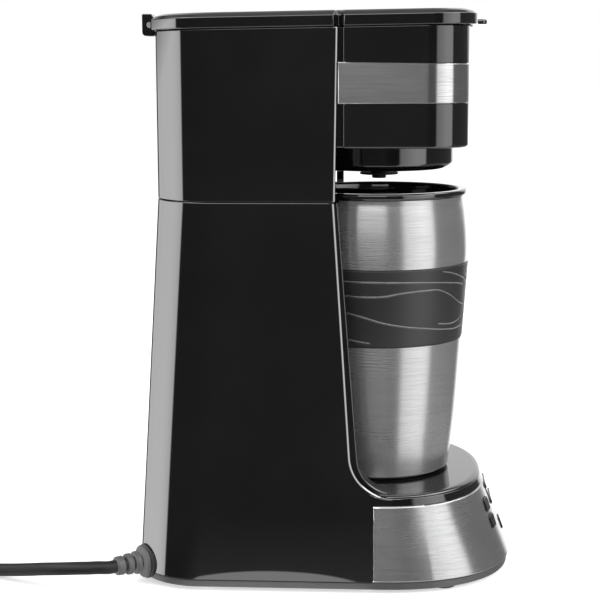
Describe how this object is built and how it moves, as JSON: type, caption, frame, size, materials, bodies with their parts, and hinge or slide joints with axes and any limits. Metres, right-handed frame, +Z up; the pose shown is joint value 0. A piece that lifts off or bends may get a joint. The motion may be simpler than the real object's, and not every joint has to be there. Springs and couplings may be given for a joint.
{
  "type": "drip coffee maker",
  "caption": "Compact drip coffee maker with a hinged lid, side tank, permanent filter and its own insulated travel mug on the base.",
  "frame": {"origin": "centre of the casing's outline, on the surface that the feet stand on", "axes": "+Z up, -Y towards the front where the mug and the controls are, +X to the right of someone facing along +Y"},
  "size_m": [0.1445, 0.3554, 0.27],
  "materials": {
    "gloss_black": "polished black moulding",
    "matt_black": "fine matt black moulding",
    "brushed_steel": "brushed round the body",
    "grey_rubber": "soft charcoal grey",
    "smoke_plastic": "smoked moulding",
    "display_glass": "dark clear window",
    "circuit_board": "green board",
    "filter_mesh": "nylon mesh in a moulded frame",
    "plain_steel": "plain zinc-grey steel",
    "cast_aluminium": "as cast",
    "silicone": "translucent off-white",
    "cord_black": "flexible black, slight sheen",
    "plug_brass": "plated"
  },
  "bodies": {
    "machine": {"lower_case": "gloss_black", "column_lining": "gloss_black", "tank_case": "gloss_black", "head_case": "gloss_black", "base_plate": "matt_black", "display_module": "matt_black", "filter_basket": "matt_black", "outlet_nozzle": "matt_black", "spray_arm": "matt_black", "base_trim": "brushed_steel", "head_band": "brushed_steel", "foot_1": "grey_rubber", "foot_2": "grey_rubber", "foot_3": "grey_rubber", "foot_4": "grey_rubber", "reservoir": "smoke_plastic", "display_window": "display_glass", "control_board": "circuit_board", "permanent_filter": "filter_mesh", "base_screw_1": "plain_steel", "base_screw_2": "plain_steel", "base_screw_3": "plain_steel", "base_screw_4": "plain_steel", "hinge_pin": "plain_steel", "heater_bracket": "plain_steel", "thermostat": "plain_steel", "hose_clamp_1": "plain_steel", "hose_clamp_2": "plain_steel", "hose_clamp_3": "plain_steel", "hose_clamp_4": "plain_steel", "heater": "cast_aluminium", "cold_hose": "silicone", "hot_hose": "silicone", "check_valve": "silicone", "thermal_fuse": "silicone", "mains_lead": "cord_black", "strain_relief": "cord_black", "cord": "cord_black", "cord_coil": "cord_black", "cord_tail": "cord_black", "cord_tie": "cord_black", "plug": "cord_black", "plug_blade_1": "plug_brass", "plug_blade_2": "plug_brass"},
    "lid": {"lid": "gloss_black"},
    "mug": {"mug_shell": "brushed_steel", "mug_liner": "gloss_black", "mug_sleeve": "grey_rubber", "mug_pad": "grey_rubber"},
    "hour_button_body": {"hour_button": "matt_black"},
    "minute_button_body": {"minute_button": "matt_black"},
    "program_button_body": {"program_button": "matt_black"},
    "auto_button_body": {"auto_button": "matt_black"},
    "start_button_body": {"start_button": "matt_black"}
  },
  "joints": [
    {"name": "lid_hinge", "type": "hinge", "parent": "machine", "child": "lid", "pos_m": [0, 0.08219, 0.264], "axis": [-1, 0, 0], "range_deg": [0, 100]},
    {"name": "mug_slide", "type": "slide", "parent": "machine", "child": "mug", "axis": [0, -1, 0], "range_m": [0, 0.12]},
    {"name": "hour_press", "type": "slide", "parent": "machine", "child": "hour_button_body", "axis": [0.2334, 0.9143, -0.331], "range_m": [0, 0.0008], "stiffness_N_per_m": 600, "springref_m": -0.0008},
    {"name": "minute_press", "type": "slide", "parent": "machine", "child": "minute_button_body", "axis": [0.248, 0.9109, -0.3298], "range_m": [0, 0.0008], "stiffness_N_per_m": 600, "springref_m": -0.0008},
    {"name": "program_press", "type": "slide", "parent": "machine", "child": "program_button_body", "axis": [-0.2334, 0.9143, -0.331], "range_m": [0, 0.0008], "stiffness_N_per_m": 600, "springref_m": -0.0008},
    {"name": "auto_press", "type": "slide", "parent": "machine", "child": "auto_button_body", "axis": [-0.248, 0.9109, -0.3298], "range_m": [0, 0.0008], "stiffness_N_per_m": 600, "springref_m": -0.0008},
    {"name": "start_press", "type": "slide", "parent": "machine", "child": "start_button_body", "axis": [0, 0.9354, -0.3536], "range_m": [0, 0.0008], "stiffness_N_per_m": 600, "springref_m": -0.0008}
  ]
}
